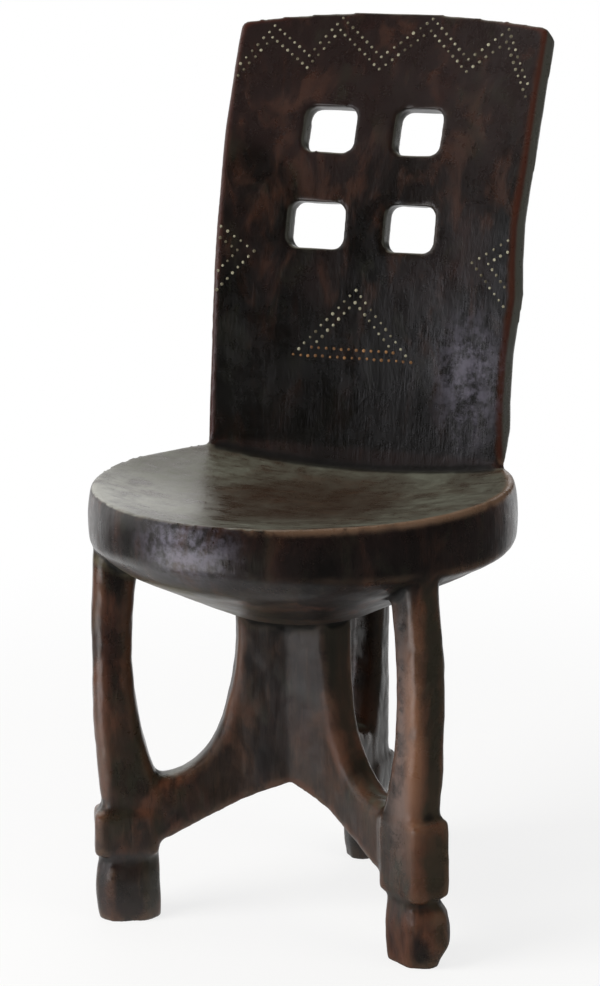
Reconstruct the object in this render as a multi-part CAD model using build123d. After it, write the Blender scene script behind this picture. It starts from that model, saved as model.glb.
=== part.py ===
from build123d import *
import math
import os

# A three-legged chair of one carved log: a dished round seat, a tall back pierced by
# four windows, and three looped legs. Wire pins driven into the back draw its pattern.
# The log is divided where its members meet, so each member is a solid of its own and
# touches its neighbours face to face. Millimetres, +Z up, the sitter faces -Y.

# ---------------------------------------------------------------- driving dimensions

# Seat, heights from the floor, radii from the seat's own axis
SEAT_HEIGHT = 450.0  # floor to the top edge of the rim
SEAT_RADIUS = 213.0  # at the belly of the rim's face
RIM_TOP_INSET = 5.0  # the rim's top edge stands in from the belly
RIM_FOOT_INSET = 2.0
RIM_DEPTH = 50.0
RIM_BANDS = 2  # the adze leaves the belly and the dish in bands
RIM_ARRIS = 2.5
DISH_DEPTH = 25.0
DISH_BANDS = 4
BOWL_BROW_INSET = 23.0  # rim's belly in to where the bowl turns up to the rim's foot
BOWL_BROW_DEPTH = 23.5  # rim's foot down to that turn
BOWL_SLOPE = 25.8  # degrees, the underside falling to the middle
BOWL_FLAT_RADIUS = 60.0

# Back, heights from the rim's top edge
BACK_HEIGHT = 442.0  # to the crown of the arched top edge
TOP_ARCH_RISE = 20.0  # crown to corners, measured on the slab
TOP_CORNER_ROUND = 14.0
BACK_WIDTH_BASE = 325.0
BACK_WIDTH_TOP = 338.0
BACK_INSET = 89.6  # rim's belly in to the front face's edges, at the rim's height
BACK_LEAN = 0.105  # steady lean, set-back gained for each millimetre of height
BACK_BOW = 74.0  # set-back gained at the top beyond the steady lean
BACK_HOLLOW_BASE = 8.2  # depth of the sideways hollow
BACK_HOLLOW_TOP = 14.3
BACK_THICKNESS_BASE = 24.0
BACK_THICKNESS_TOP = 21.0
BACK_HEEL_FLARE = 0.4  # how the back's lower corners widen from the rim's edge
BACK_ARRIS = 2.5

# Windows in the back, sizes measured on the slab
WINDOW_WIDTH = 56.0
WINDOW_HEIGHT = 48.0
WINDOW_ROUND = 11.0
WINDOW_PITCH = 101.0  # left window to right window
WINDOW_ROW_PITCH = 96.0
WINDOW_TOP_DROP = 116.0  # crown of the arch down to the upper row's centre
WINDOW_SHIFT = -3.0  # the carver set all four a little left of centre
LOWER_LEFT_EXTRA = 6.0  # and cut the lower left one wider, outwards
UPPER_RIGHT_LESS = 4.0  # and the upper right one narrower, on its outer side

# Legs, radii and widths seen from above
POST_INSET = 0.5  # the post's belly stands in from the seat's belly
POST_BELLY_DEPTH = 41.0
POST_TOP_DEPTH = 50.0
POST_WIDTH = 38.0
POST_ARRIS = 8.0
POST_HEAD_INSET = 7.0  # the outer face draws in towards the rim's foot
POST_ANKLE_INSET = 6.0  # and towards the cuff
WEB_STEP = 1.5  # the web's faces stand in from the post's
WEB_ARRIS = 7.0
WEB_CORE_RADIUS = 38.0  # seat axis to the crease between two webs
# Seat axis to the upright part of each web's inner edge
WEB_STEM_RADII = {"front_left": 66.5, "front_right": 59.0, "rear": 64.0}
WEB_FOOT_INSET = 63.0  # seat's belly in to where web, post, cuff and foot meet
SILL_HEIGHT = 150.0  # lowest point of the loop's opening
# The loop's curves, each point's height as a share of the way from its sill to the bowl:
# the post's inner face, inset from its belly, and the web's, out by a share of its reach
POST_INNER_CURVE = [(2.0, 1.05), (0.0, 0.68), (5.0, 0.38)]
WEB_INNER_CURVE = [(0.0, 0.85), (0.12, 0.46), (0.44, 0.13)]
ARCH_FOOT_HEIGHT = 82.0  # underside of the web at the cuff
ARCH_CROWN_HEIGHT = 152.5  # underside where the webs meet
ARCH_SAG = 1.0

# Cuffs and feet
CUFF_TOPS = {"front_left": 116.0, "front_right": 148.0, "rear": 108.0}
LEG_ANGLES = {"front_left": 210.0, "front_right": -30.0, "rear": 93.0}  # not quite even
CUFF_PROUD = 2.0  # the cuff stands out past the seat's belly
CUFF_STEP = 3.0  # and past the post's faces
CUFF_ARRIS = 5.0
CUFF_SHOULDER = 2.5
GROOVE_HEIGHT = 69.0  # the groove between cuff and foot
GROOVE_DEPTH = 5.0
FOOT_BULGE_HEIGHT = 28.0
FOOT_SOLE_INSET = 3.5
FOOT_ARRIS = 14.0
FOOT_BANDS = 6

# Wire pins of the pattern
PIN_RADIUS = 1.4
PIN_SIDES = 6  # flats that stand for the wire's round
PIN_LENGTH = 7.0
PIN_PROUD = 0.5
PIN_SPACING = 8.4
ZIGZAG_PEAK_SHARES = [-0.785, -0.352, 0.242, 0.762]  # of the back's half width
ZIGZAG_VALLEY_SHARES = [-0.523, -0.051, 0.530]
ZIGZAG_END_SHARES = (-0.960, 0.950)
ZIGZAG_PEAK_GAP = 4.5  # arched edge down to the peaks
ZIGZAG_VALLEY_DROP = 44.0  # crown of the arch down to the valleys
ZIGZAG_END_DROPS = (53.0, 65.0)  # and to the row's left and right ends
ZIGZAG_ROW_GAP = 12.0  # upper row down to the lower
CHEVRON_ROW_GAP = 18.0  # outer row's point to the inner's
CHEVRON_DROP = 241.0  # crown of the arch down to the chevron's point
CHEVRON_REACH = 38.0  # from the back's edge to the point
CHEVRON_RISE = 24.0
CHEVRON_FALL = 41.0
CHEVRON_EDGE_MARGIN = 4.0
TRIANGLE_GAP = 40.0  # lower windows' sills down to the apex
TRIANGLE_HEIGHT = 69.0
TRIANGLE_BASE = 132.0
TRIANGLE_SHIFT = -6.0
TRIANGLE_ROW_GAP = 8.5

# ---------------------------------------------------------------- worked-out sizes

RIM_TOP_RADIUS = SEAT_RADIUS - RIM_TOP_INSET
RIM_FOOT_RADIUS = SEAT_RADIUS - RIM_FOOT_INSET
RIM_FOOT_HEIGHT = SEAT_HEIGHT - RIM_DEPTH
BOWL_BROW_RADIUS = SEAT_RADIUS - BOWL_BROW_INSET
BOWL_BROW_HEIGHT = RIM_FOOT_HEIGHT - BOWL_BROW_DEPTH
BOWL_FALL = (BOWL_BROW_RADIUS - BOWL_FLAT_RADIUS) * math.tan(math.radians(BOWL_SLOPE))
BOWL_HEIGHT = BOWL_BROW_HEIGHT - BOWL_FALL
POST_BELLY_RADIUS = SEAT_RADIUS - POST_INSET
POST_HEAD_RADIUS = POST_BELLY_RADIUS - POST_HEAD_INSET
POST_ANKLE_RADIUS = POST_BELLY_RADIUS - POST_ANKLE_INSET
CUFF_RADIUS = SEAT_RADIUS + CUFF_PROUD
CUFF_WIDTH = POST_WIDTH + 2 * CUFF_STEP
WEB_WIDTH = POST_WIDTH - 2 * WEB_STEP
WEB_FOOT_RADIUS = SEAT_RADIUS - WEB_FOOT_INSET
BACK_SETBACK = SEAT_RADIUS - BACK_INSET
LOOP_HEIGHT = BOWL_HEIGHT - SILL_HEIGHT

# Blanks run past the surface that trims them, by less where another form is near
OVERRUN = 60.0
SHORT_OVERRUN = 20.0
ROOT_OVERRUN = 5.0
BACK_SECTIONS = 7  # level cuts that the slab is lofted through
SAME_PLACE = 0.01


def profile(*edges):
    """A closed face in the X-Z plane; X is the radius, Y of each point is the height."""
    return Plane.XZ * make_face(Curve() + list(edges))


# ---------------------------------------------------------------- seat


def banded(start, middle, end, bands):
    """Points that divide an arc into straight bands, its end included."""
    arc = ThreePointArc(start, middle, end)
    return [arc.position_at((i + 1) / bands) for i in range(bands)]


def make_seat():
    """The round seat: a dish on top, a bellied rim, and a shallow bowl underneath."""
    centre = (0, SEAT_HEIGHT - DISH_DEPTH)
    rim_top = (RIM_TOP_RADIUS, SEAT_HEIGHT)
    rim_foot = (RIM_FOOT_RADIUS, RIM_FOOT_HEIGHT)
    belly = (SEAT_RADIUS, SEAT_HEIGHT - RIM_DEPTH / 2)
    dish_radius = (RIM_TOP_RADIUS**2 + DISH_DEPTH**2) / (2 * DISH_DEPTH)
    half = math.asin(RIM_TOP_RADIUS / dish_radius) / 2
    on_dish = (dish_radius * math.sin(half), centre[1] + dish_radius * (1 - math.cos(half)))
    outline = Polyline(
        centre,
        *banded(centre, on_dish, rim_top, DISH_BANDS),
        *banded(rim_top, belly, rim_foot, RIM_BANDS),
        (BOWL_BROW_RADIUS, BOWL_BROW_HEIGHT),
        (BOWL_FLAT_RADIUS, BOWL_HEIGHT),
        (0, BOWL_HEIGHT),
        close=True,
    )
    section = profile(outline)
    arris = section.vertices().group_by(Axis.Z)[-1]
    return revolve(chamfer(arris, RIM_ARRIS), Axis.Z)


# ---------------------------------------------------------------- back


def back_half_width(h):
    """Half the back's width at height h above the rim."""
    gain = (BACK_WIDTH_TOP - BACK_WIDTH_BASE) / 2
    return BACK_WIDTH_BASE / 2 + gain * (h / BACK_HEIGHT) ** 2


def back_hollow(h):
    """Depth of the sideways hollow at height h."""
    return BACK_HOLLOW_BASE + (BACK_HOLLOW_TOP - BACK_HOLLOW_BASE) * h / BACK_HEIGHT


def back_edge_y(h):
    """Set-back of the front face's two edges at height h."""
    return BACK_SETBACK + BACK_LEAN * h + BACK_BOW * (h / BACK_HEIGHT) ** 3


def back_front_y(x, h):
    """Set-back of the front face at x and height h."""
    return back_edge_y(h) + back_hollow(h) * (1 - (x / back_half_width(h)) ** 2)


def back_slope(h):
    """Angle in radians by which the back leans from upright at height h."""
    return math.atan(BACK_LEAN + 3 * BACK_BOW * h**2 / BACK_HEIGHT**3)


def back_thickness(h):
    """Thickness at height h, square to the slab."""
    return BACK_THICKNESS_BASE + (BACK_THICKNESS_TOP - BACK_THICKNESS_BASE) * h / BACK_HEIGHT


def back_section(h):
    """The back's outline in a level cut: a hollow front, a round back and square ends."""
    half = back_half_width(h)
    hollow = back_hollow(h)
    turn = 2 * hollow / half
    deep = back_thickness(h) / math.cos(back_slope(h))
    front_left = (-half, back_edge_y(h))
    front_right = (half, back_edge_y(h))
    rear_right = (half + deep * math.sin(turn), back_edge_y(h) + deep * math.cos(turn))
    rear_left = (-rear_right[0], rear_right[1])
    front_middle = (0, back_edge_y(h) + hollow)
    rear_middle = (0, back_edge_y(h) + hollow + deep)
    outline = Curve() + [
        ThreePointArc(front_left, front_middle, front_right),
        Line(front_right, rear_right),
        ThreePointArc(rear_right, rear_middle, rear_left),
        Line(rear_left, front_left),
    ]
    return Plane.XY.offset(SEAT_HEIGHT + h) * make_face(outline)


def slab_plane(x, h):
    """A plane on the front face at x and height h, facing the sitter, Y up the slab."""
    slope = back_slope(h)
    normal = (0, -math.cos(slope), math.sin(slope))
    return Plane(origin=(x, back_front_y(x, h), SEAT_HEIGHT + h), x_dir=(1, 0, 0), z_dir=normal)


def window_rows():
    """Heights of the two rows of windows above the rim."""
    upper = BACK_HEIGHT - WINDOW_TOP_DROP
    return [upper, upper - WINDOW_ROW_PITCH]


def windows():
    """Middle, height and width of each of the four windows."""
    upper, lower = window_rows()
    left = WINDOW_SHIFT - WINDOW_PITCH / 2
    right = WINDOW_SHIFT + WINDOW_PITCH / 2
    return [
        (left, upper, WINDOW_WIDTH),
        (right - UPPER_RIGHT_LESS / 2, upper, WINDOW_WIDTH - UPPER_RIGHT_LESS),
        (left - LOWER_LEFT_EXTRA / 2, lower, WINDOW_WIDTH + LOWER_LEFT_EXTRA),
        (right, lower, WINDOW_WIDTH),
    ]


def top_trim():
    """Everything below the arched top edge, its corners rounded, cut square to the slab."""
    wide = back_half_width(BACK_HEIGHT) + BACK_ARRIS
    deep = 2 * BACK_HEIGHT
    arch = Curve() + [
        Line((-wide, -deep), (wide, -deep)),
        Line((wide, -deep), (wide, -TOP_ARCH_RISE)),
        ThreePointArc((wide, -TOP_ARCH_RISE), (0, 0), (-wide, -TOP_ARCH_RISE)),
        Line((-wide, -TOP_ARCH_RISE), (-wide, -deep)),
    ]
    outline = make_face(arch)
    outline = fillet(outline.vertices().sort_by(Axis.Y)[-2:], TOP_CORNER_ROUND)
    return extrude(slab_plane(0, BACK_HEIGHT) * outline, deep, both=True)


def arch_height(x):
    """Height of the arched top edge at x."""
    wide = back_half_width(BACK_HEIGHT) + BACK_ARRIS
    return BACK_HEIGHT - TOP_ARCH_RISE * (x / wide) ** 2 * math.cos(back_slope(BACK_HEIGHT))


def heel_trim():
    """A cup that draws the back's lower corners in to the rim's edge."""
    high = BACK_HEIGHT + OVERRUN
    section = profile(
        Polyline(
            (0, SEAT_HEIGHT - RIM_DEPTH),
            (RIM_TOP_RADIUS, SEAT_HEIGHT - RIM_DEPTH),
            (RIM_TOP_RADIUS, SEAT_HEIGHT),
            (RIM_TOP_RADIUS + BACK_HEEL_FLARE * high, SEAT_HEIGHT + high),
            (0, SEAT_HEIGHT + high),
            close=True,
        )
    )
    return revolve(section, Axis.Z)


def make_backrest(seat):
    """The tall back: a slab hollowed sideways and curving backwards as it rises."""
    root = -DISH_DEPTH - ROOT_OVERRUN
    rise = BACK_HEIGHT + SHORT_OVERRUN - root
    heights = [root + rise * i / (BACK_SECTIONS - 1) for i in range(BACK_SECTIONS)]
    slab = loft([back_section(h) for h in heights])
    uprights = [e for e in slab.edges() if e.bounding_box().size.Z > BACK_HEIGHT]
    slab = chamfer(uprights, BACK_ARRIS)
    slab = (slab & top_trim() & heel_trim()) - seat
    for x, h, width in windows():
        hole = RectangleRounded(width, WINDOW_HEIGHT, WINDOW_ROUND)
        slab -= extrude(slab_plane(x, h) * hole, OVERRUN, both=True)
    return slab


# ---------------------------------------------------------------- legs


def loop_height(share):
    """Height at a share of the way from the loop's sill up to the bowl."""
    return SILL_HEIGHT + LOOP_HEIGHT * share


def make_post(seat, cuff_top):
    """A leg's outer upright, from the cuff to the bowl, bellied outside."""
    head = RIM_FOOT_HEIGHT + RIM_DEPTH / 4
    belly_height = (head + cuff_top) / 2
    inner_belly = POST_BELLY_RADIUS - POST_BELLY_DEPTH
    inner_head = POST_HEAD_RADIUS - POST_TOP_DEPTH
    ankle = (POST_ANKLE_RADIUS, cuff_top)
    belly = (POST_BELLY_RADIUS, belly_height)
    top_out = (POST_HEAD_RADIUS, head)
    top_in = (inner_head, head)
    sill = (WEB_FOOT_RADIUS, SILL_HEIGHT)
    toe = (WEB_FOOT_RADIUS, cuff_top)
    curve = [(inner_belly - inset, loop_height(s)) for inset, s in POST_INNER_CURVE]
    inner = Spline(top_in, *curve, sill)
    side = profile(
        ThreePointArc(ankle, belly, top_out),
        Line(top_out, top_in),
        inner,
        Line(sill, toe),
        Line(toe, ankle),
    )
    post = Pos(0, POST_WIDTH / 2) * extrude(side, POST_WIDTH)
    long_edges = [e for e in post.edges() if e.bounding_box().size.Z > LOOP_HEIGHT]
    return chamfer(long_edges, POST_ARRIS) - seat


def crease_turns(name):
    """Angles in degrees from a leg to the creases it shares, clockwise and the other way."""
    others = [(other - LEG_ANGLES[name]) % 360 for key, other in LEG_ANGLES.items() if key != name]
    return (max(others) - 360) / 2, min(others) / 2


def crease_point(turn):
    """Where the faces of two neighbouring webs meet, seen from above."""
    return (
        WEB_CORE_RADIUS * math.cos(math.radians(turn)),
        WEB_CORE_RADIUS * math.sin(math.radians(turn)),
    )


def make_brace(seat, stem_radius, turns):
    """A leg's inner curved web, from the seat's middle down and out to the cuff."""
    top = BOWL_HEIGHT + SHORT_OVERRUN
    stem_top = (stem_radius, top)
    sill = (WEB_FOOT_RADIUS, SILL_HEIGHT)
    arch_foot = (WEB_FOOT_RADIUS, ARCH_FOOT_HEIGHT)
    crown = (0, ARCH_CROWN_HEIGHT)
    arch_middle = (
        WEB_FOOT_RADIUS / 2,
        (ARCH_FOOT_HEIGHT + ARCH_CROWN_HEIGHT) / 2 + ARCH_SAG,
    )
    reach = WEB_FOOT_RADIUS - stem_radius
    curve = [(stem_radius + reach * out, loop_height(s)) for out, s in WEB_INNER_CURVE]
    inner = Spline(stem_top, *curve, sill)
    side = profile(
        Line(crown, (0, top)),
        Line((0, top), stem_top),
        inner,
        Line(sill, arch_foot),
        ThreePointArc(arch_foot, arch_middle, crown),
    )
    half = WEB_WIDTH / 2
    plan = Polyline(
        (0, 0),
        crease_point(turns[0]),
        (stem_radius, -half),
        (WEB_FOOT_RADIUS, -half),
        (WEB_FOOT_RADIUS, half),
        (stem_radius, half),
        crease_point(turns[1]),
        close=True,
    )
    web = Pos(0, 2 * WEB_CORE_RADIUS) * extrude(side, 4 * WEB_CORE_RADIUS)
    web &= extrude(make_face(plan), 2 * top)
    curves = web.edges().filter_by(GeomType.BSPLINE)
    arrises = [e for e in curves if abs(abs(e.center().Y) - half) < SAME_PLACE]
    return chamfer(arrises, WEB_ARRIS) - seat


def block_section(height, inset, width, arris):
    """A level section of the ankle, from the web's end out to inset from the cuff's face."""
    depth = CUFF_RADIUS - inset - WEB_FOOT_RADIUS
    outline = Pos(WEB_FOOT_RADIUS + depth / 2, 0) * Rectangle(depth, width)
    return Plane.XY.offset(height) * chamfer(outline.vertices(), arris)


def make_cuff(top):
    """The band around the ankle, its shoulder and the groove's lip taken off."""
    section = block_section(GROOVE_HEIGHT, 0, CUFF_WIDTH, CUFF_ARRIS)
    cuff = extrude(section, top - GROOVE_HEIGHT)
    kept = cuff.faces().sort_by(Axis.X)[0].edges()
    ends = cuff.faces().sort_by(Axis.Z)
    lips = [e for e in ends[0].edges() + ends[-1].edges() if e not in kept]
    return chamfer(lips, CUFF_SHOULDER)


def foot_section(height):
    """A level section of the foot, drawn in from the bulge by an arc to sole and neck."""
    if height < FOOT_BULGE_HEIGHT:
        share = 1 - height / FOOT_BULGE_HEIGHT
        inset = FOOT_SOLE_INSET * share**2
    else:
        share = (height - FOOT_BULGE_HEIGHT) / (GROOVE_HEIGHT - FOOT_BULGE_HEIGHT)
        inset = GROOVE_DEPTH * share**2
    return block_section(height, inset, CUFF_WIDTH - 2 * inset, FOOT_ARRIS)


def make_foot():
    """The block foot: necked under the cuff, bulging, then drawn in to the sole."""
    heights = [GROOVE_HEIGHT * i / FOOT_BANDS for i in range(FOOT_BANDS + 1)]
    return loft([foot_section(h) for h in heights], ruled=True)


# ---------------------------------------------------------------- pattern of pins


def spaced(start, end, count_last=True):
    """Points from start to end about a pin spacing apart, measured up the slab."""
    (x0, h0), (x1, h1) = start, end
    rise = (h1 - h0) / math.cos(back_slope((h0 + h1) / 2))
    steps = max(1, round(math.hypot(x1 - x0, rise) / PIN_SPACING))
    last = steps if count_last else steps - 1
    return [(x0 + (x1 - x0) * i / steps, h0 + (h1 - h0) * i / steps) for i in range(last + 1)]


def row(*corners):
    """One row of pins along a line through the corners, one pin on each corner."""
    places = []
    for i in range(len(corners) - 1):
        ends = i == len(corners) - 2
        places += spaced(corners[i], corners[i + 1], count_last=ends)
    return places


def zigzag_row(lowered):
    """A zigzag across the whole width, its peaks following the arched edge."""
    half = back_half_width(BACK_HEIGHT)
    valley_h = BACK_HEIGHT - ZIGZAG_VALLEY_DROP
    peaks = [(half * s, arch_height(half * s) - ZIGZAG_PEAK_GAP) for s in ZIGZAG_PEAK_SHARES]
    valleys = [(half * s, valley_h) for s in ZIGZAG_VALLEY_SHARES]
    ends = [(half * s, BACK_HEIGHT - d) for s, d in zip(ZIGZAG_END_SHARES, ZIGZAG_END_DROPS)]
    corners = sorted(peaks + valleys + ends)
    return row(*[(x, h - lowered) for x, h in corners])


def chevron_row(side, inset):
    """One row of a chevron on the back's edge, its point towards the middle."""
    point_h = BACK_HEIGHT - CHEVRON_DROP
    edge = back_half_width(point_h) - CHEVRON_EDGE_MARGIN
    point_x = back_half_width(point_h) - CHEVRON_REACH - CHEVRON_EDGE_MARGIN + inset
    share = (edge - point_x) / CHEVRON_REACH
    return row(
        (side * edge, point_h + CHEVRON_RISE * share),
        (side * point_x, point_h),
        (side * edge, point_h - CHEVRON_FALL * share),
    )


def triangle_corners(inset):
    """Apex and base corners of the triangle, drawn in evenly by inset."""
    sill = window_rows()[1] - WINDOW_HEIGHT / 2
    apex_h = sill - TRIANGLE_GAP
    half = TRIANGLE_BASE / 2
    side_length = math.hypot(half, TRIANGLE_HEIGHT)
    drop = inset * side_length / half
    base_in = inset * (side_length + half) / TRIANGLE_HEIGHT
    base_h = apex_h - TRIANGLE_HEIGHT + inset
    apex = (TRIANGLE_SHIFT, apex_h - drop)
    left = (TRIANGLE_SHIFT - half + base_in, base_h)
    right = (TRIANGLE_SHIFT + half - base_in, base_h)
    return apex, left, right


def triangle_sides(inset):
    """The two sloping rows of a triangle, without the base corners."""
    apex, left, right = triangle_corners(inset)
    return row(left, apex, right)[1:-1]


def triangle_base(inset):
    """The level row of a triangle, corners included."""
    apex, left, right = triangle_corners(inset)
    return row(left, right)


def make_pins(places):
    """Short wires driven in square to the front face, their ends a hair proud."""
    pins = []
    for x, h in places:
        bend = 2 * back_hollow(h) * x / back_half_width(h) ** 2
        slope = back_slope(h)
        normal = Vector(-bend, -1, math.tan(slope)).normalized()
        face = Vector(x, back_front_y(x, h), SEAT_HEIGHT + h)
        plane = Plane(origin=face + normal * PIN_PROUD, z_dir=normal)
        wire = plane * RegularPolygon(PIN_RADIUS, PIN_SIDES)
        pins.append(extrude(wire, -PIN_LENGTH))
    return Compound(children=[Solid(pin.solid().wrapped) for pin in pins])


# ---------------------------------------------------------------- assembly


def build():
    """Every node by name, with the seat's axis at X = Y = 0 and the floor at Z = 0."""
    seat = make_seat()
    nodes = {"seat": seat, "backrest": make_backrest(seat)}
    foot = make_foot()
    for name, angle in LEG_ANGLES.items():
        turn = Rot(0, 0, angle)
        brace = make_brace(seat, WEB_STEM_RADII[name], crease_turns(name))
        nodes[name + "_post"] = turn * make_post(seat, CUFF_TOPS[name])
        nodes[name + "_brace"] = turn * brace
        nodes[name + "_cuff"] = turn * make_cuff(CUFF_TOPS[name])
        nodes[name + "_foot"] = turn * foot
    nodes["upper_zigzag_pins"] = make_pins(zigzag_row(0))
    nodes["lower_zigzag_pins"] = make_pins(zigzag_row(ZIGZAG_ROW_GAP))
    for name, side in (("left", -1), ("right", 1)):
        places = chevron_row(side, 0) + chevron_row(side, CHEVRON_ROW_GAP)
        nodes[name + "_chevron_pins"] = make_pins(places)
    nodes["triangle_side_pins"] = make_pins(triangle_sides(0) + triangle_sides(TRIANGLE_ROW_GAP))
    nodes["triangle_base_pins"] = make_pins(triangle_base(0) + triangle_base(TRIANGLE_ROW_GAP))
    return nodes


def main():
    """Move the chair over its own box's bottom centre and write one file per node."""
    nodes = build()
    whole = Compound(children=[Compound(list(n.solids())) for n in nodes.values()])
    box = whole.bounding_box()
    move = Pos(-(box.min.X + box.max.X) / 2, -(box.min.Y + box.max.Y) / 2, -box.min.Z)
    os.makedirs("parts", exist_ok=True)
    for name, shape in nodes.items():
        export_step(move * shape, os.path.join("parts", name + ".step"))


main()
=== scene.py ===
"""Looks of a three-legged chair carved from one log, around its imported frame."""
import math

import bmesh
import bpy
import numpy as np
from mathutils import Matrix, Vector
from mathutils.bvhtree import BVHTree


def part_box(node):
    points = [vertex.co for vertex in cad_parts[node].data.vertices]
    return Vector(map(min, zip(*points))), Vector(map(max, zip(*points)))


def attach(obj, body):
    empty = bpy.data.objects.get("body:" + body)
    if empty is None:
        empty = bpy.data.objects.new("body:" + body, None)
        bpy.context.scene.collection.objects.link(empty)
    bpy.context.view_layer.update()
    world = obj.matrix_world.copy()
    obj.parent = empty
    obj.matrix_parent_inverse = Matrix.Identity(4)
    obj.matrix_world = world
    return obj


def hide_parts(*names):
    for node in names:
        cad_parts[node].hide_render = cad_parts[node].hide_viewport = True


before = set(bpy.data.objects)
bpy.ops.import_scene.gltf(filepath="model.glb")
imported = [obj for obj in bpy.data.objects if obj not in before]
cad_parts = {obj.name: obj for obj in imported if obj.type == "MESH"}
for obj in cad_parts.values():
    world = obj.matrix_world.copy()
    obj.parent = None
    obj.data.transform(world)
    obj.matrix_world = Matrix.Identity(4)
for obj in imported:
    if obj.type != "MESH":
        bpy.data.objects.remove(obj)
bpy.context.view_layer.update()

# ---------------------------------------------------------------- sizes, in metres

MM = 0.001
VOXEL = 2.4 * MM  # grid that fuses the members into one carved block
WELD = 0.001 * MM  # vertices of a CAD mesh nearer than this are one

seat_low, seat_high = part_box("seat")
AXIS = Vector(((seat_low.x + seat_high.x) / 2, (seat_low.y + seat_high.y) / 2, 0))
SEAT_RADIUS = (seat_high.x - seat_low.x) / 2
RIM_TOP = seat_high.z
BOWL_BOTTOM = seat_low.z

# The seat's outline
DISH_DEPTH = 25 * MM
DISH_STEPS = 24
RIM_TOP_INSET = 5 * MM
RIM_FOOT_INSET = 2 * MM
RIM_DEPTH = 50 * MM
RIM_WIDEST = 0.45  # share of the rim's depth where it is widest
BROW_INSET = 23 * MM
BROW_DEPTH = 73.5 * MM
BROW = RIM_TOP - BROW_DEPTH  # height where the rim's underside turns into the bowl
BOWL_FLAT = 60 * MM
CORNER_CUTS = [3 * MM, 15 * MM, 5 * MM, 13 * MM, 25 * MM]  # how far from each corner its curve starts

# The seat's unevenness
RIM_SWELL = 4.5 * MM  # the disc is this much wider towards its rear right
RIM_SWELL_ANGLE = math.radians(38)
RIM_SWELL_REACH = math.radians(64)
RIM_ZONE = (110 * MM, 205 * MM)  # radii where the unevenness starts and is full
RIM_DROP_FROM = (RIM_TOP - 8 * MM, RIM_TOP - 40 * MM)  # heights where the drop starts and is full
RIM_DROP_TO = (BROW, RIM_TOP - RIM_DEPTH - 4 * MM)  # heights where it is gone and is still full
DROP_ALL, DROP_SIDES, DROP_RIGHT = 3.0, 5.5, 0.7  # how much deeper the rim is, in millimetres

# Rounds of smoothing, and what makes up for the width and height that they take
RUB_ROUNDS = 11  # legs and bowl
RUB_ZONE = (1 * MM, 12 * MM)  # distances below the bowl's slope where the rubbing starts and is full
CUFF_ROUNDS = 5
FOOT_ROUNDS = 6
EASE_ROUNDS = 2  # the whole block
SLAB_GAIN = 1.6 * MM  # on each edge of the slab
SOLE_PRESS = 3.5 * MM  # pushes the soles' arrises back down to the floor
SOLE_ZONE = (16 * MM, 3 * MM)  # heights where the press starts and is full

# Fuller places
POST_GAIN = 3.0 * MM  # on the outer side of the front right post
FOOT_GAIN = 7.0 * MM  # and of its foot
OUTER_SIDE = (45 * MM, 8 * MM)  # how far in from the post's outer face the gains start and are full
FRONT_SIDE = (20 * MM, -20 * MM)  # and how far behind the seat's axis
POST_GAIN_TOP = (RIM_TOP - 75 * MM, RIM_TOP - 150 * MM)  # heights where the post's gain starts and is full
POST_GAIN_RISE = 60 * MM  # height over the cuff that it takes to be full
FOOT_GAIN_RISE = (4 * MM, 22 * MM)  # heights where the foot's gain starts and is full
FOOT_GAIN_FALL = 18 * MM  # height under the cuff over which it ends
SLAB_ZONE = (RIM_TOP - 4 * MM, RIM_TOP + 6 * MM)  # heights where the slab's own gains start and are full
EDGE_SWELLS = [  # past a straight right edge, by height above the rim, in millimetres
    (0, 3.5),
    (20, 2.0),
    (60, 0.3),
    (110, 0.8),
    (170, 6.5),
    (200, 4.0),
    (240, 2.2),
    (300, 4.8),
    (350, 5.2),
    (400, 3.8),
    (440, 2.5),
]
EDGE_ZONE = (0.72, 0.97)  # shares of the slab's half width where the swell starts and is full
SIDE_ZONE = (0.5, 1.0)  # and where the gain does

# Sizes of the tools' marks, and their depths in millimetres
CUT_SIZE = (17 * MM, 17 * MM, 36 * MM)
CHIP_SIZE = (24 * MM, 24 * MM, 24 * MM)
BROAD_SIZE, MIDDLE_SIZE, FINE_SIZE = 55 * MM, 18 * MM, 7 * MM
CUT_SEED, CHIP_SEED, BROAD_SEED, MIDDLE_SEED, FINE_SEED = 11, 23, 5, 7, 9
FLAT_TOP = 0.4  # a facet is flat where its own middle is nearer than the next by this share of its size
LEG_DEPTHS = (0.9, 0.9, 0.45, 0.12)  # cuts, broad, middle, fine
SLAB_DEPTHS = (0.5, 0.18, 0.06)  # broad, middle, fine
SEAT_DEPTHS = (0.5, 0.32, 0.15, 0.08)  # broad, chips, middle, fine
LEG_MARKS = (0.0, 12 * MM)  # distances below the bowl's slope where the legs' marks start and are full
SLAB_MARKS = (RIM_TOP - 2 * MM, RIM_TOP + 25 * MM)  # heights where the slab's marks start and are full

# Bulges and hollows against the surface around them, at full wear and at full painted shade
WIDE_ROUNDS = 10
CALM_ROUNDS = 4
ARRIS_BULGE = 1.6 * MM
HOLLOW_DEPTH = 1.2 * MM

# The bowl's own finish: distances below its slope, and heights, where it starts and is full
BOWL_ZONE = (14 * MM, 5 * MM)
UNDER_RIM = (BROW + 14 * MM, BROW - 2 * MM)

# Wire ends
PIN_SEED = 1709
PIN_RADIUS = (1.25, 1.85)  # in millimetres
PIN_SHIFT = 0.45 * MM  # most that a wire lies off its place
PIN_TURN = 6.28
PIN_TILT = 0.12  # in radians
PIN_SPOKES = 12
PIN_RINGS = ((1.0, -1.6), (1.0, 0.16), (0.86, 0.36), (0.5, 0.5))  # share of radius, rise in millimetres
PIN_CROWN = 0.54 * MM
PIN_SEARCH = 12 * MM  # how far in front of and behind a pin's place the carved face is looked for

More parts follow.
